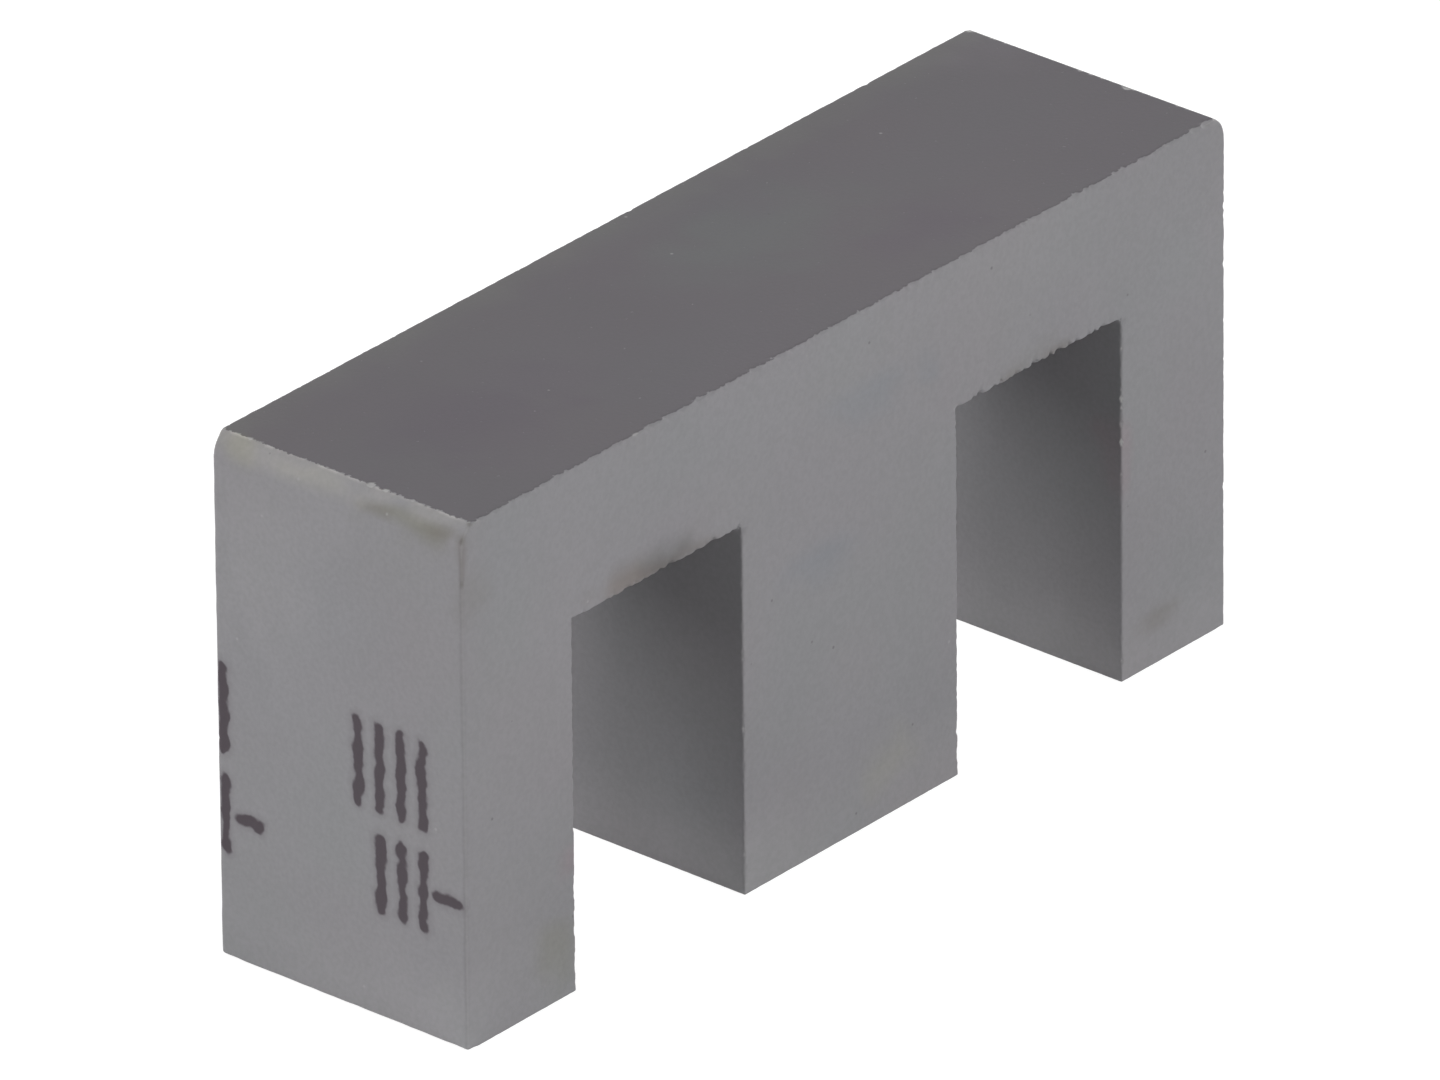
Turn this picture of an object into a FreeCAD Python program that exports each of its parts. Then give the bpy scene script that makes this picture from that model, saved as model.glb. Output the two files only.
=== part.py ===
# Ferrite E core: the half of a transformer or choke core whose centre leg carries the coil.
# It is one piece of ferrite, pressed through its thickness, sintered and ground on its pole faces.
# Millimetres. +X runs along the length, +Y through the thickness, +Z from the pole faces to the back.
# The origin is under the middle of the centre leg, on the plane of the pole faces.

import FreeCAD, Part

import math
import os

# Overall size
LENGTH = 25.5
HEIGHT = 12.55
THICKNESS = 7.0

# The three legs, and the two winding windows between them
CENTRE_LEG_WIDTH = 7.2
OUTER_LEG_WIDTH = 3.55
WINDOW_DEPTH = 8.95
WINDOW_CORNER_RADIUS = 0.2

# The back's two ends: the die rounds each corner, and the flat back takes a little off the round,
# so that the two meet at a low crease
BACK_CORNER_RADIUS = 0.65
BACK_CREASE_DEPTH = 0.07

# The four upright edges of the end faces, worn soft by tumbling
END_EDGE_RADIUS = 0.15

HALF_LENGTH = LENGTH / 2
HALF_THICKNESS = THICKNESS / 2
HALF_CENTRE_LEG = CENTRE_LEG_WIDTH / 2
OUTER_LEG_INSIDE = HALF_LENGTH - OUTER_LEG_WIDTH


def point(x, z):
    """A point of the E outline, on the front E face."""
    return FreeCAD.Vector(x, -HALF_THICKNESS, z)


def on_circle(centre_x, centre_z, radius, angle):
    """The outline's point at this angle, from +X towards +Z, on a circle."""
    return point(centre_x + radius * math.cos(angle), centre_z + radius * math.sin(angle))


def arc(centre_x, centre_z, radius, first_angle, last_angle):
    """An arc of the outline between two angles."""
    angles = (first_angle, (first_angle + last_angle) / 2, last_angle)
    ends = [on_circle(centre_x, centre_z, radius, angle) for angle in angles]
    return Part.Arc(*ends).toShape()


def line(start, end):
    """A straight stretch of the outline."""
    return Part.LineSegment(start, end).toShape()


def back_corner():
    """The right end's corner of the back, from the end face up to the crease."""
    centre_x = HALF_LENGTH - BACK_CORNER_RADIUS
    centre_z = HEIGHT + BACK_CREASE_DEPTH - BACK_CORNER_RADIUS
    crease_angle = math.asin((HEIGHT - centre_z) / BACK_CORNER_RADIUS)
    return arc(centre_x, centre_z, BACK_CORNER_RADIUS, 0, crease_angle)


def window_corners():
    """The right window's two inner corners: the one at the outer leg and the one at the centre leg."""
    centre_z = WINDOW_DEPTH - WINDOW_CORNER_RADIUS
    outer_x = OUTER_LEG_INSIDE - WINDOW_CORNER_RADIUS
    inner_x = HALF_CENTRE_LEG + WINDOW_CORNER_RADIUS
    outer = arc(outer_x, centre_z, WINDOW_CORNER_RADIUS, 0, math.pi / 2)
    inner = arc(inner_x, centre_z, WINDOW_CORNER_RADIUS, math.pi / 2, math.pi)
    return outer, inner


def half_outline():
    """The right half of the E, from the middle of the back round to the middle of the centre leg."""
    corner = back_corner()
    end_face_top, crease = (vertex.Point for vertex in corner.Vertexes)
    outer, inner = window_corners()
    outer_low, outer_high = (vertex.Point for vertex in outer.Vertexes)
    inner_high, inner_low = (vertex.Point for vertex in inner.Vertexes)
    return [
        line(point(0, HEIGHT), crease),
        corner,
        line(end_face_top, point(HALF_LENGTH, 0)),
        line(point(HALF_LENGTH, 0), point(OUTER_LEG_INSIDE, 0)),
        line(point(OUTER_LEG_INSIDE, 0), outer_low),
        outer,
        line(outer_high, inner_high),
        inner,
        line(inner_low, point(HALF_CENTRE_LEG, 0)),
        line(point(HALF_CENTRE_LEG, 0), point(0, 0)),
    ]


def pressed_body():
    """The E outline, whole, carried through the thickness."""
    right = half_outline()
    middle = FreeCAD.Vector(0, 0, 0)
    along = FreeCAD.Vector(1, 0, 0)
    left = [edge.mirror(middle, along) for edge in right]
    outline = Part.Wire(Part.__sortEdges__(right + left))
    body = Part.Face(outline).extrude(FreeCAD.Vector(0, THICKNESS, 0))
    return body.removeSplitter()


def soft_edged_block():
    """The core's overall block with its four upright edges rounded."""
    corner = FreeCAD.Vector(-HALF_LENGTH, -HALF_THICKNESS, 0)
    block = Part.makeBox(LENGTH, THICKNESS, HEIGHT, corner)
    upright = [edge for edge in block.Edges if edge.BoundBox.ZLength > HEIGHT / 2]
    return block.makeFillet(END_EDGE_RADIUS, upright)


def e_core():
    """The finished core: the pressed body within its soft-edged block."""
    return pressed_body().common(soft_edged_block()).removeSplitter()


os.makedirs("parts", exist_ok=True)
e_core().exportStep("parts/e_core.step")
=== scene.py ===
import math

import bpy
import numpy as np
from mathutils import Matrix, Vector
from mathutils.geometry import delaunay_2d_cdt


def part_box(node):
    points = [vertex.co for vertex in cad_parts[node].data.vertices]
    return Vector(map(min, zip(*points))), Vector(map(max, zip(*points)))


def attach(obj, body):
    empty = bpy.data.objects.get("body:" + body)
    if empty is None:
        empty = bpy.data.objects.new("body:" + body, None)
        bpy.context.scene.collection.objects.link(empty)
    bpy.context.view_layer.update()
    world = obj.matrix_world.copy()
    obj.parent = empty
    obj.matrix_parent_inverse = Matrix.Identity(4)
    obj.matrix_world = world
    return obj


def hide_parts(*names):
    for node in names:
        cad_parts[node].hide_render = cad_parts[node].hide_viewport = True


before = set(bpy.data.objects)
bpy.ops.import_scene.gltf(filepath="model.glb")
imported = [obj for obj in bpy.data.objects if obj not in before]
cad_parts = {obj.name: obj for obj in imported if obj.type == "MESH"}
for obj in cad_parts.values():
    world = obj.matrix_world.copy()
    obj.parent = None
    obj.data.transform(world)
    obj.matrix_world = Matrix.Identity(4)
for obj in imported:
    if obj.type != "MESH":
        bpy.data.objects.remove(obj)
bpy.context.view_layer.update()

# The core
# Half of a transformer or choke core: a back with a wide centre leg and a narrower leg at each end.
# It is one piece of manganese-zinc ferrite, pressed from powder in a die, fired hard and ground on
# its three feet, and handling has crumbled its sharp edges. It stands on its feet.

# Lengths are in millimetres, and what is closer than CLOSE counts as level
MM = 0.001
CLOSE = 0.01

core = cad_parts["e_core"]
lowest, highest = (np.array(corner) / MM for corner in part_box("e_core"))
HALF_LENGTH, HALF_THICKNESS, HEIGHT = highest
LEFT, FRONT = lowest[:2]

corners = np.empty(3 * len(core.data.vertices))
core.data.vertices.foreach_get("co", corners)
corners = corners.reshape(-1, 3) / MM
from_middle = np.abs(corners[:, 0])
foot_corners = np.unique(from_middle[corners[:, 2] < CLOSE].round(3))
HALF_CENTRE_LEG, OUTER_LEG_INSIDE = foot_corners[:2]
in_window = (from_middle > HALF_CENTRE_LEG + CLOSE) & (from_middle < OUTER_LEG_INSIDE - CLOSE)
WINDOW_DEPTH = corners[in_window, 2].max()

# The die's rounds: the back's two ends, cut off a little by the flat back, and the windows' corners,
# which came out sharper at the left of each window
BACK_ROUND = 0.65
CREASE_DEPTH = 0.07
LEFT_WINDOW_ROUND, RIGHT_WINDOW_ROUND = 0.09, 0.2

ROUND_X = HALF_LENGTH - BACK_ROUND
ROUND_Z = HEIGHT + CREASE_DEPTH - BACK_ROUND
ROUND_TURN = math.asin((HEIGHT - ROUND_Z) / BACK_ROUND)
CREASE_X = ROUND_X + BACK_ROUND * math.cos(ROUND_TURN)

# The mesh: four rows close to every edge, even steps along it, and wider squares further in, each with
# its size and the depths between which it lies. The outline itself is worked out in very short steps.
STEP = 0.056
SHORT_STEP = 0.005
EDGE_ROWS = np.array([0.02, 0.045, 0.08, 0.13])
SQUARES = ((0.12, 0.18, 0.5), (0.24, 0.5, 1.4), (0.48, 1.4, np.inf))
TURN_SHARE = 1.0

# What counts as touching, as one place, and as more than nothing
TOUCHING, MERGED = 1e-6, 1e-7
SAME_DECIMALS = 5
ABOVE_ZERO = 1e-9


def along_outline(start, end, heading, moves):
    """One smooth stretch of the E outline, from a sharp corner to the next, clockwise seen from the front.

    Each move is a length and a turn: the heading turns evenly over it, so it is a straight or an arc.
    The places are the running sum of short steps along the heading. The columns are x, z, the true
    length so far, and the length with every radian turned counted in as TURN_SHARE millimetres more.
    """
    rows = []
    for length, turn in moves:
        count = math.ceil(length / SHORT_STEP)
        headings = heading + turn * (np.arange(count) + 0.5) / count
        step = length / count
        weighted = step + TURN_SHARE * abs(turn) / count
        rows.append(np.stack((
            step * np.cos(headings), step * np.sin(headings),
            np.full(count, step), np.full(count, weighted),
        ), 1))
        heading += turn
    places = np.concatenate(([[*start, 0, 0]], np.concatenate(rows))).cumsum(0)
    places[-1, :2] = end
    return places


quarter = math.pi / 2
window_top = OUTER_LEG_INSIDE - HALF_CENTRE_LEG - LEFT_WINDOW_ROUND - RIGHT_WINDOW_ROUND
window_moves = (
    (WINDOW_DEPTH - RIGHT_WINDOW_ROUND, 0), (RIGHT_WINDOW_ROUND * quarter, quarter), (window_top, 0),
    (LEFT_WINDOW_ROUND * quarter, quarter), (WINDOW_DEPTH - LEFT_WINDOW_ROUND, 0),
)
back_arc = (BACK_ROUND * ROUND_TURN, -ROUND_TURN)
end_face = (ROUND_Z, 0)
outer_foot = ((HALF_LENGTH - OUTER_LEG_INSIDE, 0),)

sharp_corners = (
    (-CREASE_X, HEIGHT), (CREASE_X, HEIGHT), (HALF_LENGTH, 0), (OUTER_LEG_INSIDE, 0),
    (HALF_CENTRE_LEG, 0), (-HALF_CENTRE_LEG, 0), (-OUTER_LEG_INSIDE, 0), (-HALF_LENGTH, 0),
)
headings_and_moves = (
    (0, ((2 * CREASE_X, 0),)),
    (ROUND_TURN - quarter, (back_arc, end_face)),
    (math.pi, outer_foot),
    (quarter, window_moves),
    (math.pi, ((2 * HALF_CENTRE_LEG, 0),)),
    (quarter, window_moves),
    (math.pi, outer_foot),
    (quarter, (end_face, back_arc)),
)
stretches = [
    along_outline(start, end, heading, moves)
    for start, end, (heading, moves) in zip(
        sharp_corners, sharp_corners[1:] + sharp_corners[:1], headings_and_moves
    )
]


def border_places(length):
    """Places along one side of a face: the edge rows in from each of its ends, and even steps between."""
    first, last = EDGE_ROWS[-1], length - EDGE_ROWS[-1]
    middle = np.linspace(first, last, round((last - first) / STEP) + 1)
    return np.concatenate(([0], EDGE_ROWS[:-1], middle, length - EDGE_ROWS[-2::-1], [length]))


def joined_face(border, inward, depth):
    """One face laid flat: its border, the border moved in row by row, and squares that widen with depth.

    The points are joined by Delaunay's rule, and triangles outside the face, where the depth of the
    middle isn't positive, are left out.
    """
    rows = [border + inward * row for row in EDGE_ROWS]
    kept = [border] + [points[depth(points) > row - TOUCHING] for points, row in zip(rows, EDGE_ROWS)]
    start, stop = border.min(0), border.max(0)
    for size, near, far in SQUARES:
        axes = (np.arange(a, b, size) for a, b in zip(start, stop))
        points = np.stack(np.meshgrid(*axes), -1).reshape(-1, 2)
        deep = depth(points)
        kept.append(points[(deep >= near) & (deep < far)])
    points = np.concatenate(kept)
    first = np.unique(points.round(SAME_DECIMALS), axis=0, return_index=True)[1]
    points = points[np.sort(first)]
    result = delaunay_2d_cdt([Vector(point) for point in points], [], [], 0, MERGED)
    origin = np.array([sources[0] for sources in result[3]])
    triangles = origin[np.array(result[2])]
    a, b, c = points[triangles].swapaxes(0, 1)
    turned = np.cross(b - a, c - a) < 0
    triangles[turned] = triangles[turned][:, ::-1]
    return points, triangles[depth((a + b + c) / 3) > TOUCHING]


def outline_depth(x, z):
    """How deep a place on the E lies behind the outline without its feet, and the outline's normal there.

    Above, the nearest of the back, the end and the round between them; at a window, the distance to a
    box with round corners that is open below. The normal points the way the depth falls.
    """
    wide = np.abs(x)
    outwards = np.sign(x)
    arm_x, arm_z = wide - ROUND_X, z - ROUND_Z
    reach = np.hypot(arm_x, arm_z)
    in_round = (arm_x > 0) & (arm_z > 0)
    end = np.where(in_round, BACK_ROUND - reach, HALF_LENGTH - wide)
    safe = np.maximum(reach, ABOVE_ZERO)
    end_x = np.where(in_round, arm_x / safe, 1.0) * outwards
    end_z = np.where(in_round, arm_z / safe, 0.0)
    back = HEIGHT - z

    from_middle = x - outwards * (OUTER_LEG_INSIDE + HALF_CENTRE_LEG) / 2
    corner_round = np.where(from_middle < 0, LEFT_WINDOW_ROUND, RIGHT_WINDOW_ROUND)
    half_width = (OUTER_LEG_INSIDE - HALF_CENTRE_LEG) / 2 - corner_round
    gap_x = np.maximum(np.abs(from_middle) - half_width, 0)
    gap_z = np.maximum(z - WINDOW_DEPTH + corner_round, 0)
    gap = np.hypot(gap_x, gap_z)
    safe = np.maximum(gap, ABOVE_ZERO)
    window = gap - corner_round
    window_x = -np.sign(from_middle) * gap_x / safe
    window_z = -gap_z / safe

    depths = np.stack((back, end, window))
    nearest = depths.argmin(0)
    normal_x = np.choose(nearest, (np.zeros_like(x), end_x, window_x))
    normal_z = np.choose(nearest, (np.ones_like(x), end_z, window_z))
    return depths.min(0), normal_x, normal_z


def e_depth(points):
    """The same depth with the feet's plane counted in, for the flat E face."""
    x, z = points.T
    return np.minimum(outline_depth(x, z)[0], z)


# The faces, each as points in space, points of its flat map and triangles. The outline's own direction is
# taken between two places this far before and behind.
PROBE = 1e-3

faces = []
across = border_places(2 * HALF_THICKNESS) - HALF_THICKNESS
e_border, e_inward = [], []
for stretch in stretches:
    x, z, length, rowed = stretch.T
    total = rowed[-1]
    places = border_places(total)
    ends = np.repeat((0, total), len(across))
    sides = np.repeat((-HALF_THICKNESS, HALF_THICKNESS), len(places))
    border = np.concatenate((
        np.stack((np.tile(places, 2), sides), 1), np.stack((ends, np.tile(across, 2)), 1),
    ))
    inward = np.zeros_like(border)
    inward[:len(sides), 1] = -np.sign(sides)
    inward[len(sides):, 0] = np.where(ends == 0, 1, -1)

    def strip_depth(points):
        """The distance to the nearest side of this strip."""
        u, v = points.T
        return np.minimum(np.minimum(u, total - u), HALF_THICKNESS - np.abs(v))

    points, triangles = joined_face(border, inward, strip_depth)
    u, y = points.T
    solid = np.stack((np.interp(u, rowed, x), y, np.interp(u, rowed, z)), 1)
    flat = np.stack((np.interp(u, rowed, length), y + HALF_THICKNESS), 1)
    faces.append((solid, flat, triangles))

    border_x, border_z = np.interp(places, rowed, x), np.interp(places, rowed, z)
    e_border.append(np.stack((border_x, border_z), 1))
    middles = np.clip(places, PROBE, total - PROBE)
    along_x = np.interp(middles + PROBE, rowed, x) - np.interp(middles - PROBE, rowed, x)
    along_z = np.interp(middles + PROBE, rowed, z) - np.interp(middles - PROBE, rowed, z)
    e_inward.append(np.stack((along_z, -along_x), 1) / np.hypot(along_x, along_z)[:, None])

points, triangles = joined_face(np.concatenate(e_border), np.concatenate(e_inward), e_depth)
flat = points + (HALF_LENGTH, 0)
for y, order in ((-HALF_THICKNESS, 1), (HALF_THICKNESS, -1)):
    solid = np.stack((points[:, 0], np.full(len(points), y), points[:, 1]), 1)
    faces.append((solid, flat, triangles[:, ::order]))

# The flat map: every face unrolled at one scale on a square sheet. The two E faces lie at its bottom, with
# the window strips upright at their right, and the other strips lie in two rows above. The places are in the
# faces' own order, with left, bottom and whether the strip is upright.
MAP_GAP = 0.3
strip_width = 2 * HALF_THICKNESS + MAP_GAP
e_width = 2 * HALF_LENGTH + MAP_GAP
end_length = faces[1][1][:, 0].max() + MAP_GAP
leg_length = 2 * HALF_CENTRE_LEG + MAP_GAP
outer_length = HALF_LENGTH - OUTER_LEG_INSIDE + MAP_GAP
first_row = 2 * (HEIGHT + MAP_GAP) + MAP_GAP
second_row = first_row + strip_width
map_places = (
    (MAP_GAP, first_row, False),
    (e_width, first_row, False),
    (MAP_GAP + end_length + leg_length, second_row, False),
    (MAP_GAP + e_width, MAP_GAP, True),
    (MAP_GAP + end_length, second_row, False),
    (MAP_GAP + e_width + strip_width, MAP_GAP, True),
    (MAP_GAP + end_length + leg_length + outer_length, second_row, False),
    (MAP_GAP, second_row, False),
    (MAP_GAP, MAP_GAP, False),
    (MAP_GAP, 2 * MAP_GAP + HEIGHT, False),
)
map_size = MAP_GAP + e_width + 2 * strip_width
flat_places = [
    (flat[:, ::-1] if upright else flat) + (left, bottom)
    for (_, flat, _), (left, bottom, upright) in zip(faces, map_places)
]
flat_map = np.concatenate(flat_places) / map_size

starts = np.cumsum([0] + [len(solid) for solid, _, _ in faces[:-1]])
loose = np.concatenate([solid for solid, _, _ in faces])
loose_triangles = np.concatenate([tris + start for (_, _, tris), start in zip(faces, starts)])
_, first, shared = np.unique(loose.round(SAME_DECIMALS), axis=0, return_index=True, return_inverse=True)
places = loose[first]
triangles = shared.reshape(-1)[loose_triangles]

# Wear: where two faces meet, both are taken back to an arc. Its radius follows soft noise, so the edges
# are finely ragged, most so at the tops of the windows, and least at the back's far edge. The feet were
# ground after firing and keep sharp edges, and the left end's upright edges are the softest.
EDGE_WEAR = 0.02
EDGE_LUMPS = 0.022
SHARP_BELOW, WORN_ABOVE = 0.05, 0.3
WEAR_AT_FEET = 0.15

# Soft noise: the widths of its lumps, and how many there are each way before it repeats
FINE_SIZE, MEDIUM_SIZE, BROAD_SIZE, CRUMB_SIZE = 0.11, 0.31, 2.7, 0.1
LATTICE = (61, 53, 59)

# Crumbling: how deep it goes, how much of it each edge has, and how far from the edge that reaches. Along an
# edge it comes and goes with the broad lumps, and it bites where the crumbs' own lumps stand high.
CRUMBLING = 0.17
CRUMBLED_AT_WINDOW_TOP, CRUMBLED_AT_BACK, CRUMBLED_ELSEWHERE = 1.0, 0.5, 0.2
WINDOW_TOP_REACH = (0.05, 0.2)
BACK_REACH = (0.3, 0.1)
CRUMBLED_LEAST, CRUMBLED_MORE = 0.45, 1.1
CRUMB_SHARE = 0.65
CRUMBS_BITE = (0.35, 0.75)
SPARED_AT_ENDS = 0.7

# The ends' upright edges: their radius, how it varies, and how far from the end it starts and is whole
LEFT_END_WEAR, RIGHT_END_WEAR = 0.08, 0.045
END_WEAR_LEAST, END_WEAR_MORE = 0.8, 0.4
END_EDGE_REACH = (0.4, 0.2)

# Chips: balls taken out of an edge, as x, y, z, radius and how pale the break is, from 0 to 1. These are
# where they stand in view.
SEEN_CHIPS = (
    # The legs' upright edges
    (OUTER_LEG_INSIDE, FRONT, 8.15, 0.14, 1.0), (OUTER_LEG_INSIDE, FRONT, 6.96, 0.17, 1.0),
    (OUTER_LEG_INSIDE, FRONT, 6.74, 0.12, 0.9), (OUTER_LEG_INSIDE, FRONT, 6.54, 0.14, 0.9),
    (OUTER_LEG_INSIDE, FRONT, 5.9, 0.17, 1.0), (OUTER_LEG_INSIDE, FRONT, 7.55, 0.11, 0.6),
    (OUTER_LEG_INSIDE, FRONT, 5.1, 0.12, 0.5), (HALF_CENTRE_LEG, FRONT, 6.3, 0.16, 0.3),
    (HALF_CENTRE_LEG, FRONT, 1.07, 0.18, 0.4), (HALF_CENTRE_LEG, FRONT, 0.6, 0.15, 0.3),
    (-OUTER_LEG_INSIDE, FRONT, 2.75, 0.13, 1.0), (-OUTER_LEG_INSIDE, FRONT, 2.3, 0.15, 0.4),
    # The back's front edge
    (-12.38, FRONT, HEIGHT, 0.2, 0.0), (-8.49, FRONT, HEIGHT, 0.18, 0.0), (-8.08, FRONT, HEIGHT, 0.13, 0.0),
    (-1.95, FRONT, HEIGHT, 0.16, 0.2), (4.72, FRONT, HEIGHT, 0.16, 0.0), (5.83, FRONT, HEIGHT, 0.17, 0.2),
    (10.74, FRONT, HEIGHT, 0.2, 0.2), (11.75, FRONT, HEIGHT, 0.3, 0.1), (12.15, FRONT, HEIGHT, 0.34, 0.1),
    # The left crease
    (-12.4, -1.1, HEIGHT, 0.12, 0.8), (-12.4, -1.85, HEIGHT, 0.1, 0.6), (-12.4, 0.55, HEIGHT, 0.09, 0.6),
    (-12.4, 2.7, HEIGHT, 0.11, 0.7),
)

# The others fall anywhere along the edges. Their sizes spread by a random share to a power, which keeps most
# of them small. A ball's centre stands off the edge by a share of its radius, and a break is pale where it
# goes this deep.
SMALL_CHIPS = 200
CHIP_SMALLEST, CHIP_SPREAD, CHIP_POWER = 0.06, 0.13, 3
CHIP_PALENESS = 0.7
CHIP_STANDOFF = 0.72
FRESH_DEPTH = (0.002, 0.014)


def lumps(places, size, seed):
    """Soft random values from 0 to 1: random numbers on a lattice this wide, blended by smooth steps."""
    table = np.random.default_rng(seed).random(LATTICE)
    cell, part = np.divmod(places / size, 1)
    part = part * part * (3 - 2 * part)
    total = np.zeros(len(places))
    for corner in np.ndindex(2, 2, 2):
        index = (cell.astype(int) + corner) % table.shape
        total += np.where(corner, part, 1 - part).prod(1) * table[tuple(index.T)]
    return total


def smooth_step(value, low, high):
    """From 0 to 1 as the value goes from low to high, level at both."""
    share = np.clip((value - low) / (high - low), 0, 1)
    return share * share * (3 - 2 * share)


def rounded(places, radius):
    """The places with every edge taken back to an arc of the radius at that place.

    A place less than the radius from two or three faces has an arm from the arc's centre, whose
    components are the radius less each distance. The arm keeps its direction and shrinks to the
    length of its greatest component.
    """
    x, y, z = places.T
    depth, normal_x, normal_z = outline_depth(x, z)
    from_outline = np.clip(radius - depth, 0, None)
    from_face = np.clip(radius - (HALF_THICKNESS - np.abs(y)), 0, None)
    from_foot = np.clip(radius - z, 0, None)
    arms = np.stack((from_outline, from_face, from_foot))
    shrink = 1 - arms.max(0) / np.maximum(np.linalg.norm(arms, axis=0), ABOVE_ZERO)
    shrink[arms.max(0) == 0] = 0
    back = np.stack((
        from_outline * normal_x, from_face * np.sign(y), from_outline * normal_z - from_foot,
    ), 1)
    return places - back * shrink[:, None]


def bitten(places, centre, radius):
    """The places with those inside a ball pushed straight out from its centre on to it."""
    arm = places - centre
    reach = np.linalg.norm(arm, axis=1)
    inside = reach < radius
    places = places.copy()
    places[inside] = centre + arm[inside] * (radius / reach[inside])[:, None]
    return places


fine, medium, broad, crumbs = (
    lumps(places, size, seed)
    for size, seed in ((FINE_SIZE, 1), (MEDIUM_SIZE, 2), (BROAD_SIZE, 3), (CRUMB_SIZE, 12))
)
from_end = HALF_LENGTH - np.abs(places[:, 0])
at_end = 1 - smooth_step(from_end, END_EDGE_REACH[1], END_EDGE_REACH[0])
above_feet = smooth_step(places[:, 2], SHARP_BELOW, WORN_ABOVE)
at_window_top = 1 - smooth_step(np.abs(places[:, 2] - WINDOW_DEPTH), *WINDOW_TOP_REACH)
at_back = smooth_step(places[:, 2], HEIGHT - BACK_REACH[0], HEIGHT - BACK_REACH[1])
crumbled = CRUMBLED_ELSEWHERE + (CRUMBLED_AT_WINDOW_TOP - CRUMBLED_ELSEWHERE) * at_window_top
crumbled += (CRUMBLED_AT_BACK * (places[:, 1] < 0) - CRUMBLED_ELSEWHERE) * at_back
bite = smooth_step(CRUMB_SHARE * crumbs + (1 - CRUMB_SHARE) * medium, *CRUMBS_BITE)
crumbled *= (CRUMBLED_LEAST + CRUMBLED_MORE * broad) * bite * (1 - SPARED_AT_ENDS * at_end)
raggedness = EDGE_LUMPS * (fine + medium) + CRUMBLING * crumbled
wear = EDGE_WEAR + raggedness * (WEAR_AT_FEET + (1 - WEAR_AT_FEET) * above_feet)
end_wear = np.where(places[:, 0] < 0, LEFT_END_WEAR, RIGHT_END_WEAR)
wear = np.maximum(wear, end_wear * at_end * (END_WEAR_LEAST + END_WEAR_MORE * medium))
worn_places = rounded(places, wear)

# The edges that can chip, as places and the ways out of them: both outlines above the feet, and the creases
outline, outwards = np.concatenate(e_border), -np.concatenate(e_inward)
outwards = outwards[outline[:, 1] > WORN_ABOVE]
outline = outline[outline[:, 1] > WORN_ABOVE]
edge_places, edge_outs = [], []
for face in (-1, 1):
    sideways = np.full(len(outline), face)
    edge_places.append(np.stack((outline[:, 0], sideways * HALF_THICKNESS, outline[:, 1]), 1))
    edge_outs.append(np.stack((outwards[:, 0], sideways, outwards[:, 1]), 1) / math.sqrt(2))
for end in (-1, 1):
    tilt = (quarter - ROUND_TURN) / 2
    crease = (np.full_like(across, end * CREASE_X), across, np.full_like(across, HEIGHT))
    edge_places.append(np.stack(crease, 1))
    edge_outs.append(np.tile((end * math.sin(tilt), 0, math.cos(tilt)), (len(across), 1)))
edge_places, edge_outs = np.concatenate(edge_places), np.concatenate(edge_outs)

chance = np.random.default_rng(11)
bites = [(np.array(chip[:3]), *chip[3:]) for chip in SEEN_CHIPS]
bites += [
    (
        edge_places[index],
        CHIP_SMALLEST + CHIP_SPREAD * chance.random() ** CHIP_POWER,
        CHIP_PALENESS * chance.random(),
    )
    for index in chance.integers(0, len(edge_places), SMALL_CHIPS)
]
bitten_places = worn_places
freshness = np.zeros(len(places))
for edge, radius, paleness in bites:
    out = edge_outs[np.linalg.norm(edge_places - edge, axis=1).argmin()]
    before = bitten_places
    bitten_places = bitten(before, edge + out * CHIP_STANDOFF * radius, radius)
    depth = np.linalg.norm(bitten_places - before, axis=1)
    freshness = np.maximum(freshness, paleness * smooth_step(depth, *FRESH_DEPTH))

mesh = bpy.data.meshes.new("worn_e_core")
mesh.from_pydata((bitten_places * MM).tolist(), [], triangles.tolist())
map_layer = mesh.uv_layers.new(name="OFBake")
map_layer.data.foreach_set("uv", flat_map[loose_triangles.reshape(-1)].reshape(-1))
mesh.attributes.new("freshly_broken", "FLOAT", "POINT").data.foreach_set("value", freshness)
mesh.shade_smooth()
worn_core = bpy.data.objects.new("worn_e_core", mesh)
bpy.context.scene.collection.objects.link(worn_core)
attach(worn_core, "root")
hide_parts("e_core")

# The fired surface: matt mid grey. The back is darker and slightly purple: painted shade, as the top gets
# less light than the sides. What broke away later is paler, and the feet are ground.
FERRITE = (0.2065, 0.2056, 0.2117, 1)
BACK_PAINTED_SHADE = (0.102, 0.0965, 0.1035, 1)
FRESH = (0.35, 0.35, 0.345, 1)
GROUND = (0.232, 0.234, 0.238, 1)
PORE = (0.085, 0.083, 0.088, 1)
LIGHT_SPECK = (0.3, 0.3, 0.3, 1)

# Tints, as shares of red, green and blue. All over: a faint bloom of broad lumps.
COOL, COOL_SIZE = (0.975, 0.99, 1.0), 2.3
WARM, WARM_SIZE = (1.02, 0.985, 1.0), 1.9
LIGHTER, LIGHTER_SIZE = (1.06, 1.06, 1.06), 3.1
BLOOM_WANDER = 0.3
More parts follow.
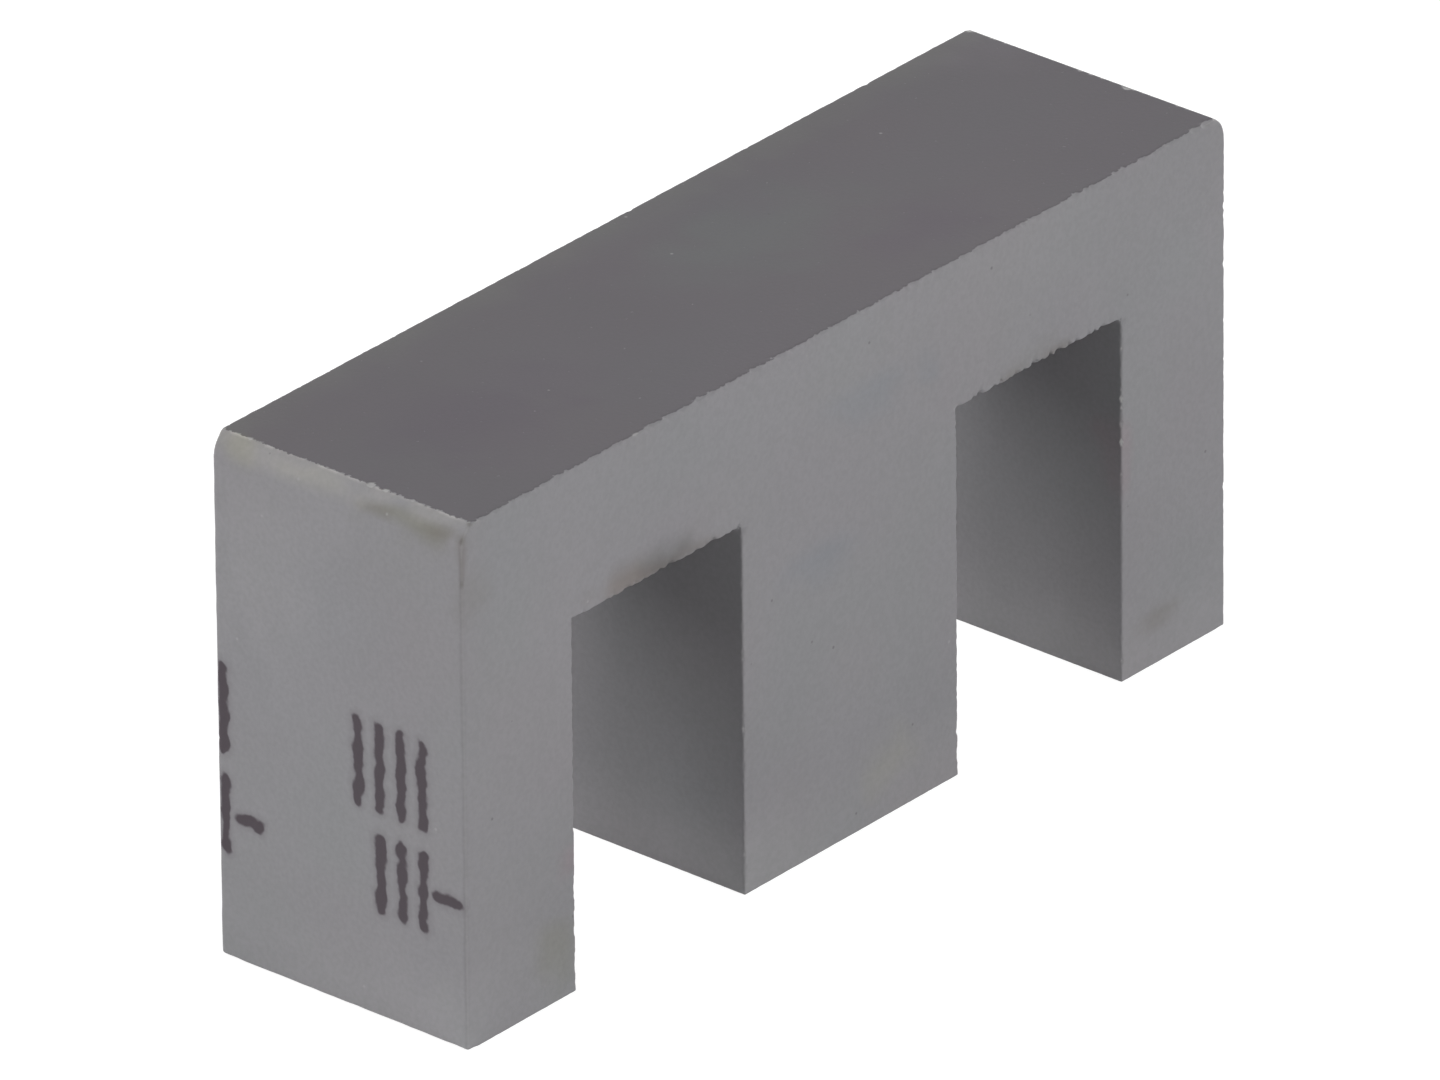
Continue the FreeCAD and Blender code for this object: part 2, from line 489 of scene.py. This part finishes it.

# Along the edges, painted light: the back's painted shade eases off towards its far edge, a pale band and a
# broken rim under the creases are painted highlights, and the ends' upright edges are lightened where their
# round faces away from the lamps. Towards the feet it is lighter: painted light from the floor.
ON_BACK_WITHIN = 0.005
BACK_FAR_EDGE_PAINTED_LIGHT, FAR_EDGE_FROM, FAR_EDGE_PAST = (1.1, 1.15, 1.07), 2.3, 0.3
CREASE_PAINTED_HIGHLIGHT, CREASE_HIGHLIGHT_DEPTH = (1.12, 1.11, 1.07), 0.2
CREASE_RIM_PAINTED_HIGHLIGHT, CREASE_RIM_HIGHLIGHT_DEPTH = (1.5, 1.5, 1.45), 0.045
RIM_HIGHLIGHT_BROKEN = (0.5, 1.4)
END_EDGE_PAINTED_LIGHT, END_EDGE_LIGHT_DEPTH = (1.14, 1.14, 1.13), 0.02
PAINTED_FLOOR_LIGHT, PAINTED_FLOOR_LIGHT_HEIGHT = (1.12, 1.12, 1.11), 2.4

# Patches, each with its middle and its reach along x, y and z. Most are stains that firing and handling left;
# those that are painted light or shade say so where they stand. They fade out softly from a small core, along
# wandering outlines.
BROWN = (0.985, 0.94, 0.905)
DUSKY = (0.86, 0.84, 0.81)
DIM = (0.94, 0.935, 0.915)
DARK = (0.74, 0.73, 0.7)
OLIVE = (0.92, 0.92, 0.85)
PALE_OLIVE = (1.05, 1.05, 0.98)
BLUISH = (0.92, 0.96, 0.99)
ROSE = (1.04, 0.95, 0.97)
GREENISH = (1.02, 1.09, 1.04)
PURPLE = (0.96, 0.93, 0.97)
PATCHES = (
    # The front, over the left window
    (BROWN, (-7.45, FRONT, 9.1), (1.5, 0.7, 0.42)), (DUSKY, (-6.3, FRONT, 9.25), (2.6, 0.6, 0.6)),
    (DUSKY, (-6.0, FRONT, 9.05), (2.3, 0.6, 0.3)), (DUSKY, (-6.2, FRONT, 9.25), (1.2, 0.6, 0.5)),
    (BLUISH, (-6.0, FRONT, 9.25), (1.3, 0.6, 0.6)),
    # The front, over the right window and at the middle
    (DUSKY, (7.1, FRONT, 9.02), (0.8, 0.4, 0.22)), (DUSKY, (5.45, FRONT, 9.0), (0.6, 0.4, 0.2)),
    (DIM, (6.4, FRONT, 9.2), (1.9, 0.6, 0.45)), (BLUISH, (-1.0, FRONT, 7.1), (1.7, 0.5, 0.8)),
    (BLUISH, (0.6, FRONT, 10.4), (2.2, 0.5, 0.5)), (BLUISH, (2.7, FRONT, 10.2), (0.5, 0.5, 0.4)),
    # The front, on the legs and at the left corner
    (DUSKY, (10.35, FRONT, 1.15), (1.0, 0.5, 0.42)), (DIM, (-12.3, FRONT, 10.9), (0.9, 0.5, 0.9)),
    (OLIVE, (-9.9, FRONT, 1.2), (0.9, 0.5, 1.3)), (PALE_OLIVE, (1.2, FRONT, 1.3), (1.4, 0.5, 0.9)),
    (ROSE, (9.3, -3.3, 5.7), (0.35, 0.9, 1.6)), (ROSE, (-9.4, FRONT, 3.2), (0.5, 0.5, 0.6)),
    # The left end, below its crease: olive and dusky stains, the end lighter towards its back and top, and
    # pale olive and lighter bands along the crease, which are painted highlight on the round with a yellowish
    # stain in it
    (LIGHTER, (LEFT, 1.8, 10.2), (0.5, 3.2, 4.5)), (DUSKY, (LEFT, -2.87, 12.2), (0.5, 0.75, 0.25)),
    (OLIVE, (LEFT, -2.6, 12.1), (0.5, 1.1, 0.4)), (DUSKY, (LEFT, -1.11, 12.2), (0.5, 0.5, 0.2)),
    (OLIVE, (LEFT, -1.2, 12.2), (0.5, 0.8, 0.3)), (DIM, (LEFT, -2.5, 12.15), (0.5, 1.5, 0.45)),
    (OLIVE, (LEFT, -1.9, 12.25), (0.5, 0.9, 0.3)), (PALE_OLIVE, (-12.6, 2.9, 12.3), (0.5, 0.9, 0.4)),
    (PALE_OLIVE, (-12.6, 3.1, 12.3), (0.5, 1.1, 0.5)), (PALE_OLIVE, (-12.7, 0.7, 12.3), (0.5, 1.4, 0.35)),
    (LIGHTER, (-12.6, 0.6, 12.3), (0.5, 2.2, 0.35)),
    # The left end's front upright edge: small dark spots, and a darker line towards its top, which is painted
    # shade on the round
    (DARK, (-12.45, -3.46, 12.52), (0.12, 0.12, 0.08)), (DARK, (-12.72, -3.47, 12.18), (0.07, 0.07, 0.16)),
    (DARK, (-12.72, -3.47, 11.2), (0.06, 0.06, 0.13)), (DUSKY, (-12.72, -3.47, 11.8), (0.16, 0.16, 1.2)),
    # The back
    (GREENISH, (1.5, 0.6, HEIGHT), (4.2, 2.2, 0.5)), (PURPLE, (-8.4, -0.4, HEIGHT), (4.0, 2.2, 0.5)),
    (PURPLE, (4.5, -2.0, HEIGHT), (2.5, 1.2, 0.5)), (LIGHTER, (12.3, 2.6, HEIGHT), (2.4, 2.0, 0.5)),
)
PATCH_CORE = 0.15
WANDER, WANDER_SIZE = 0.7, 0.55


def washed(tint, factors, share):
    """The tint with a share of these factors multiplied in."""
    return tint * (1 + share[:, None] * (np.array(factors) - 1))


wander = np.stack([lumps(places, WANDER_SIZE, seed) for seed in (4, 5, 6)], 1) - 0.5
uneven = places + WANDER * wander
tint = np.ones_like(places)
for seed, (factors, size) in enumerate(((COOL, COOL_SIZE), (WARM, WARM_SIZE), (LIGHTER, LIGHTER_SIZE)), 7):
    tint = washed(tint, factors, lumps(uneven, size, seed) + BLOOM_WANDER * wander[:, 0])
on_back = places[:, 2] > HEIGHT - ON_BACK_WITHIN
# Painted light: the back's painted shade eases off towards its far edge.
at_far_edge = smooth_step(uneven[:, 1], FAR_EDGE_FROM, HALF_THICKNESS + FAR_EDGE_PAST)
tint = washed(tint, BACK_FAR_EDGE_PAINTED_LIGHT, on_back * at_far_edge)
# Painted highlight: a pale band on the round under each crease.
under_crease = (np.abs(places[:, 0]) > ROUND_X) * ~on_back
crease_highlight = smooth_step(uneven[:, 2], HEIGHT - 2 * CREASE_HIGHLIGHT_DEPTH, HEIGHT)
tint = washed(tint, CREASE_PAINTED_HIGHLIGHT, under_crease * crease_highlight)
# Painted highlight: a bright rim just under each crease, broken up by the lumps.
rim_highlight = smooth_step(places[:, 2], HEIGHT - CREASE_RIM_HIGHLIGHT_DEPTH, HEIGHT)
tint = washed(tint, CREASE_RIM_PAINTED_HIGHLIGHT, under_crease * rim_highlight * smooth_step(fine + medium, *RIM_HIGHLIGHT_BROKEN))
# Painted light: the ends' upright edges are lightened along their round, which faces away from the lamps.
worn_depth = np.linalg.norm(worn_places - places, axis=1)
tint = washed(tint, END_EDGE_PAINTED_LIGHT, at_end * smooth_step(worn_depth, 0, END_EDGE_LIGHT_DEPTH))
# Painted light: lighter towards the feet, standing in for the light the floor throws up.
tint = washed(tint, PAINTED_FLOOR_LIGHT, 1 - smooth_step(uneven[:, 2], 0, PAINTED_FLOOR_LIGHT_HEIGHT))
for factors, middle, reach in PATCHES:
    away = np.linalg.norm((places - middle) / reach + WANDER * wander, axis=1)
    tint = washed(tint, factors, 1 - smooth_step(away, PATCH_CORE, 1))
mesh.attributes.new("fired_tint", "FLOAT_VECTOR", "POINT").data.foreach_set("vector", tint.reshape(-1))

ferrite = bpy.data.materials.new("sintered_ferrite")
ferrite.use_nodes = True
tree = ferrite.node_tree


def node(tree, kind, inputs=None, **settings):
    """A new node with its settings. Each input is a plain value or another node's output."""
    made = tree.nodes.new(kind)
    for name, value in settings.items():
        setattr(made, name, value)
    for name, value in (inputs or {}).items():
        if isinstance(value, bpy.types.NodeSocket):
            tree.links.new(value, made.inputs[name])
        else:
            made.inputs[name].default_value = value
    return made


def sums(tree, operation, *values):
    """One step of arithmetic on numbers."""
    return node(tree, "ShaderNodeMath", dict(enumerate(values)), operation=operation).outputs[0]


def arrows(tree, operation, *values):
    """One step of arithmetic on places or directions."""
    return node(tree, "ShaderNodeVectorMath", dict(enumerate(values)), operation=operation).outputs[0]


def step(tree, value, low, high, bottom=0.0, top=1.0):
    """A smooth step from bottom to top while the value goes from low to high."""
    inputs = {"Value": value, "From Min": low, "From Max": high, "To Min": bottom, "To Max": top}
    return node(tree, "ShaderNodeMapRange", inputs, interpolation_type="SMOOTHSTEP").outputs[0]


def tinted(tree, colour, other, share, blend="MIX"):
    """The colour with a share of another laid over it or multiplied in."""
    inputs = {0: share, 6: colour, 7: other}
    return node(tree, "ShaderNodeMix", inputs, data_type="RGBA", blend_type=blend).outputs[2]


coordinates = node(tree, "ShaderNodeTexCoord").outputs["Object"]
at = arrows(tree, "MULTIPLY", coordinates, (1 / MM,) * 3)
at_x, at_y, at_z = node(tree, "ShaderNodeSeparateXYZ", {0: at}).outputs

# The grain: fine lumps, which the grinding wheel drew out into lines along the feet
GRAIN_SCALE = 9.0
GRAIN_RANGE = (0.2, 0.8)
GRAIN_TONES = (0.955, 1.045)
GRINDING = (0.06, 2.6, 1.0)
GROUND_UP_TO = 0.02
ground = step(tree, at_z, 0.0, GROUND_UP_TO, 1.0, 0.0)
drawn_out = node(tree, "ShaderNodeMix", {0: ground, 4: (1, 1, 1), 5: GRINDING}, data_type="VECTOR").outputs[1]
inputs = {"Vector": arrows(tree, "MULTIPLY", at, drawn_out), "Scale": GRAIN_SCALE, "Detail": 2.0}
grain = node(tree, "ShaderNodeTexNoise", inputs).outputs["Fac"]

# The back's painted shade stops raggedly at its edges: at the creases by x, and along its sides by height
RAGGED, MORE_AT_CREASE = 0.045, 5.0
TONE_STARTS, TONE_WHOLE = 0.018, 0.008
CREASE_SOFTNESS = 0.01
ragged = sums(tree, "MULTIPLY", sums(tree, "SUBTRACT", grain, 0.5), RAGGED)
up = step(tree, sums(tree, "ADD", at_z, ragged), HEIGHT - TONE_STARTS, HEIGHT - TONE_WHOLE)
from_crease = sums(tree, "SUBTRACT", CREASE_X, sums(tree, "ABSOLUTE", at_x))
from_crease = sums(tree, "ADD", from_crease, sums(tree, "MULTIPLY", ragged, MORE_AT_CREASE))
within = step(tree, from_crease, -CREASE_SOFTNESS, CREASE_SOFTNESS)
colour = tinted(tree, FERRITE, BACK_PAINTED_SHADE, sums(tree, "MULTIPLY", up, within))
fired_tint = node(tree, "ShaderNodeAttribute", attribute_name="fired_tint").outputs["Vector"]
colour = tinted(tree, colour, fired_tint, 1.0, "MULTIPLY")
colour = tinted(tree, colour, GROUND, ground)
level = step(tree, grain, *GRAIN_RANGE, *GRAIN_TONES)
level = node(tree, "ShaderNodeCombineXYZ", {0: level, 1: level, 2: level}).outputs[0]
colour = tinted(tree, colour, level, 1.0, "MULTIPLY")

# Pores and pale specks: one to a cell, in a share of the cells that each cell's own number picks
SPECK_SCALE = 1.5
SPECK_REACH, SPECK_CORE = 0.075, 0.4
PORE_SHARE, PORE_STRENGTH = 0.22, 0.55
LIGHT_SHARE, LIGHT_STRENGTH = 0.12, 0.5
cells = node(tree, "ShaderNodeTexVoronoi", {"Vector": at, "Scale": SPECK_SCALE}, feature="F1").outputs
number = node(tree, "ShaderNodeSeparateXYZ", {0: cells["Color"]}).outputs[0]
spot = step(tree, cells["Distance"], SPECK_CORE * SPECK_REACH, SPECK_REACH, 1.0, 0.0)
pore = sums(tree, "MULTIPLY", spot, sums(tree, "LESS_THAN", number, PORE_SHARE))
light_speck = sums(tree, "MULTIPLY", spot, sums(tree, "GREATER_THAN", number, 1 - LIGHT_SHARE))
colour = tinted(tree, colour, PORE, sums(tree, "MULTIPLY", pore, PORE_STRENGTH))
colour = tinted(tree, colour, LIGHT_SPECK, sums(tree, "MULTIPLY", light_speck, LIGHT_STRENGTH))

freshly_broken = node(tree, "ShaderNodeAttribute", attribute_name="freshly_broken").outputs["Fac"]
colour = tinted(tree, colour, FRESH, freshly_broken)

# The ink: two rows of plain upright strokes and a dash, sprayed on the left end and a little way round its
# edges, which start again every few millimetres. Each has a thin halo of spray.
INK, INK_STRENGTH = (0.056, 0.045, 0.053, 1), 0.95
INK_HALO, INK_HALO_STRENGTH = (0.15, 0.138, 0.152, 1), 0.35
INK_REPEAT = 5.6
INK_HALF_WIDTH, INK_SWELLING = 0.135, 0.16
INK_SOFTNESS, INK_HALO_WIDTH = 0.04, 0.2
INK_WHOLE_TO, INK_ENDS_AT = 0.1, 0.16
INK_WOBBLE, INK_WOBBLE_SCALE = 0.2, 2.8
STROKE_PITCH = 0.6
FIRST_STROKE = -2.3
UPPER_ROW = {"Count": 4, "Middle": 6.03, "Half Length": 0.97}
LOWER_ROW = {"Count": 3, "Middle": 3.46, "Half Length": 0.84}
DASH_HEIGHT = 3.46
DASH = {"Count": 1, "Middle": -3.0, "Half Length": 0.27}

row = bpy.data.node_groups.new("ink_row", "ShaderNodeTree")
for name in ("Across", "Along", "First", "Count", "Middle", "Half Length"):
    row.interface.new_socket(name, in_out="INPUT", socket_type="NodeSocketFloat")
row.interface.new_socket("Distance", in_out="OUTPUT", socket_type="NodeSocketFloat")
given = node(row, "NodeGroupInput").outputs
from_first = sums(row, "SUBTRACT", given["Across"], given["First"])
index = sums(row, "ROUND", sums(row, "DIVIDE", from_first, STROKE_PITCH))
index = sums(row, "MINIMUM", sums(row, "MAXIMUM", index, 0.0), sums(row, "SUBTRACT", given["Count"], 1.0))
beside = sums(row, "SUBTRACT", from_first, sums(row, "MULTIPLY", index, STROKE_PITCH))
from_middle = sums(row, "ABSOLUTE", sums(row, "SUBTRACT", given["Along"], given["Middle"]))
past_end = sums(row, "MAXIMUM", sums(row, "SUBTRACT", from_middle, given["Half Length"]), 0.0)
arm = node(row, "ShaderNodeCombineXYZ", {0: beside, 1: past_end}).outputs[0]
distance = node(row, "ShaderNodeVectorMath", {0: arm}, operation="LENGTH").outputs["Value"]
node(row, "NodeGroupOutput", {"Distance": distance})


def from_row(across, along, first, values):
    """The distance to the nearest of a row of strokes that run along one way and are set out across it."""
    inputs = {"Across": across, "Along": along, "First": first, **values}
    return node(tree, "ShaderNodeGroup", inputs, node_tree=row).outputs[0]


inputs = {"Vector": at, "Scale": INK_WOBBLE_SCALE, "Detail": 1.0}
wobble = arrows(tree, "SUBTRACT", node(tree, "ShaderNodeTexNoise", inputs).outputs["Color"], (0.5,) * 3)
inked_at = arrows(tree, "ADD", at, arrows(tree, "MULTIPLY", wobble, (INK_WOBBLE,) * 3))
_, inked_y, inked_z = node(tree, "ShaderNodeSeparateXYZ", {0: inked_at}).outputs
swelling = node(tree, "ShaderNodeSeparateXYZ", {0: wobble}).outputs[0]
inked_y = sums(tree, "WRAP", inked_y, INK_REPEAT - HALF_THICKNESS, -HALF_THICKNESS)
upper = from_row(inked_y, inked_z, FIRST_STROKE, UPPER_ROW)
lower = from_row(inked_y, inked_z, FIRST_STROKE, LOWER_ROW)
dash = from_row(inked_z, inked_y, DASH_HEIGHT, DASH)
from_ink = sums(tree, "MINIMUM", sums(tree, "MINIMUM", upper, lower), dash)
from_ink = sums(tree, "ADD", from_ink, sums(tree, "MULTIPLY", swelling, INK_SWELLING))
from_ink = sums(tree, "ADD", from_ink, ragged)
on_left_end = step(tree, at_x, LEFT + INK_WHOLE_TO, LEFT + INK_ENDS_AT, 1.0, 0.0)
halo = step(tree, from_ink, INK_HALF_WIDTH, INK_HALF_WIDTH + INK_HALO_WIDTH, INK_HALO_STRENGTH, 0.0)
inner, outer = INK_HALF_WIDTH - INK_SOFTNESS, INK_HALF_WIDTH + INK_SOFTNESS
ink = step(tree, from_ink, inner, outer, INK_STRENGTH, 0.0)
colour = tinted(tree, colour, INK_HALO, sums(tree, "MULTIPLY", halo, on_left_end))
colour = tinted(tree, colour, INK, sums(tree, "MULTIPLY", ink, on_left_end))

# How it takes the light: rough, a little smoother where ground, in fine relief
ROUGHNESS, GRAIN_ROUGHNESS = 0.68, 0.05
GROUND_ROUGHNESS = 0.5
SPECULAR = 0.15
RELIEF = 0.004
rough = step(tree, ground, 0.0, 1.0, ROUGHNESS, GROUND_ROUGHNESS)
grainy = step(tree, grain, *GRAIN_RANGE, -GRAIN_ROUGHNESS, GRAIN_ROUGHNESS)
rough = sums(tree, "ADD", rough, grainy)
relief = node(tree, "ShaderNodeBump", {"Height": grain, "Distance": RELIEF * MM, "Strength": 1.0})
shader = tree.nodes["Principled BSDF"]
shader.inputs["Specular IOR Level"].default_value = SPECULAR
tree.links.new(colour, shader.inputs["Base Color"])
tree.links.new(rough, shader.inputs["Roughness"])
tree.links.new(relief.outputs[0], shader.inputs["Normal"])
mesh.materials.append(ferrite)

# The floor
# White paper under soft light, a hair below the feet. What looks at it sees white paper with the core's
# faint shadow on it, and the core gets its plain light back.
FLOOR_SIZE = 3.0
FLOOR_GAP = 0.01 * MM
PAPER = (0.9, 0.9, 0.9, 1)
PAPER_IN_VIEW = (0.26, 0.26, 0.26, 1)
PAPER_GLOW = 0.87

half = FLOOR_SIZE / 2
floor_mesh = bpy.data.meshes.new("paper_floor")
floor_corners = [(-half, -half, 0), (half, -half, 0), (half, half, 0), (-half, half, 0)]
floor_mesh.from_pydata(floor_corners, [], [(0, 1, 2, 3)])
floor = bpy.data.objects.new("paper_floor", floor_mesh)
floor.location.z = -FLOOR_GAP
bpy.context.scene.collection.objects.link(floor)
paper = bpy.data.materials.new("white_paper")
paper.use_nodes = True
floor_mesh.materials.append(paper)


def looked_at(tree):
    """1 for rays from the camera, mirrors and glass, and 0 for the light that falls on things."""
    rays = node(tree, "ShaderNodeLightPath").outputs
    seen = sums(tree, "MAXIMUM", rays["Is Camera Ray"], rays["Is Glossy Ray"])
    return sums(tree, "MAXIMUM", seen, rays["Is Transmission Ray"])


tree = paper.node_tree
shader = tree.nodes["Principled BSDF"]
shader.inputs["Roughness"].default_value = 0.9
shader.inputs["Specular IOR Level"].default_value = 0.0
shader.inputs["Emission Color"].default_value = (1, 1, 1, 1)
seen = looked_at(tree)
tree.links.new(tinted(tree, PAPER, PAPER_IN_VIEW, seen), shader.inputs["Base Color"])
tree.links.new(sums(tree, "MULTIPLY", seen, PAPER_GLOW), shader.inputs["Emission Strength"])

# The light
# Large soft lamps, two low at the ends and two higher, behind and in front, with a little even light. Each
# has its bearing and its elevation in degrees, and its watts.
EVEN_LIGHT = 0.07
LAMP_DISTANCE = 0.6
LAMP_SIZE = 0.35
LAMPS = (
    ("left_lamp", 164, 8, 1.65),
    ("high_back_lamp", 120, 35, 2.8),
    ("high_front_lamp", 285, 35, 3.0),
    ("right_lamp", 10, 8, 2.5),
)

world = bpy.data.worlds.new("studio")
bpy.context.scene.world = world
world.use_nodes = True
tree = world.node_tree
background = tree.nodes["Background"]
background.inputs["Color"].default_value = (1, 1, 1, 1)
strength = step(tree, looked_at(tree), 0.0, 1.0, EVEN_LIGHT, 1.0)
tree.links.new(strength, background.inputs["Strength"])

for name, bearing, elevation, watts in LAMPS:
    lamp_data = bpy.data.lights.new(name, "AREA")
    lamp_data.energy = watts
    lamp_data.size = LAMP_SIZE
    lamp = bpy.data.objects.new(name, lamp_data)
    bpy.context.scene.collection.objects.link(lamp)
    bearing, elevation = math.radians(bearing), math.radians(elevation)
    direction = Vector((
        math.cos(bearing) * math.cos(elevation), math.sin(bearing) * math.cos(elevation), math.sin(elevation),
    ))
    target = Vector((0, 0, HEIGHT / 2 * MM))
    turn = direction.to_track_quat("Z", "Y").to_matrix().to_4x4()
    lamp.matrix_world = Matrix.Translation(target + direction * LAMP_DISTANCE) @ turn

# The camera
# It stands where the photograph was taken from, far off with a long lens.
VIEW_AZIMUTH = math.radians(49.57)
VIEW_ELEVATION = math.radians(27.32)
VIEW_ROLL = math.radians(-0.506)
VIEW_DISTANCE = 562.36 * MM
VIEW_TARGET = Vector((-0.163, 0.046, 6.093)) * MM
LENS_MM = 650

camera_data = bpy.data.cameras.new("photo_camera")
camera_data.lens = LENS_MM
camera_data.sensor_width = 36
camera = bpy.data.objects.new("photo_camera", camera_data)
bpy.context.scene.collection.objects.link(camera)
forward = Vector((
    math.sin(VIEW_AZIMUTH) * math.cos(VIEW_ELEVATION),
    math.cos(VIEW_AZIMUTH) * math.cos(VIEW_ELEVATION),
    -math.sin(VIEW_ELEVATION),
))
turn = forward.to_track_quat("-Z", "Y").to_matrix().to_4x4()
place = Matrix.Translation(VIEW_TARGET - forward * VIEW_DISTANCE)
camera.matrix_world = place @ turn @ Matrix.Rotation(VIEW_ROLL, 4, "Z")
bpy.context.scene.camera = camera
bpy.context.scene.view_settings.view_transform = "Standard"
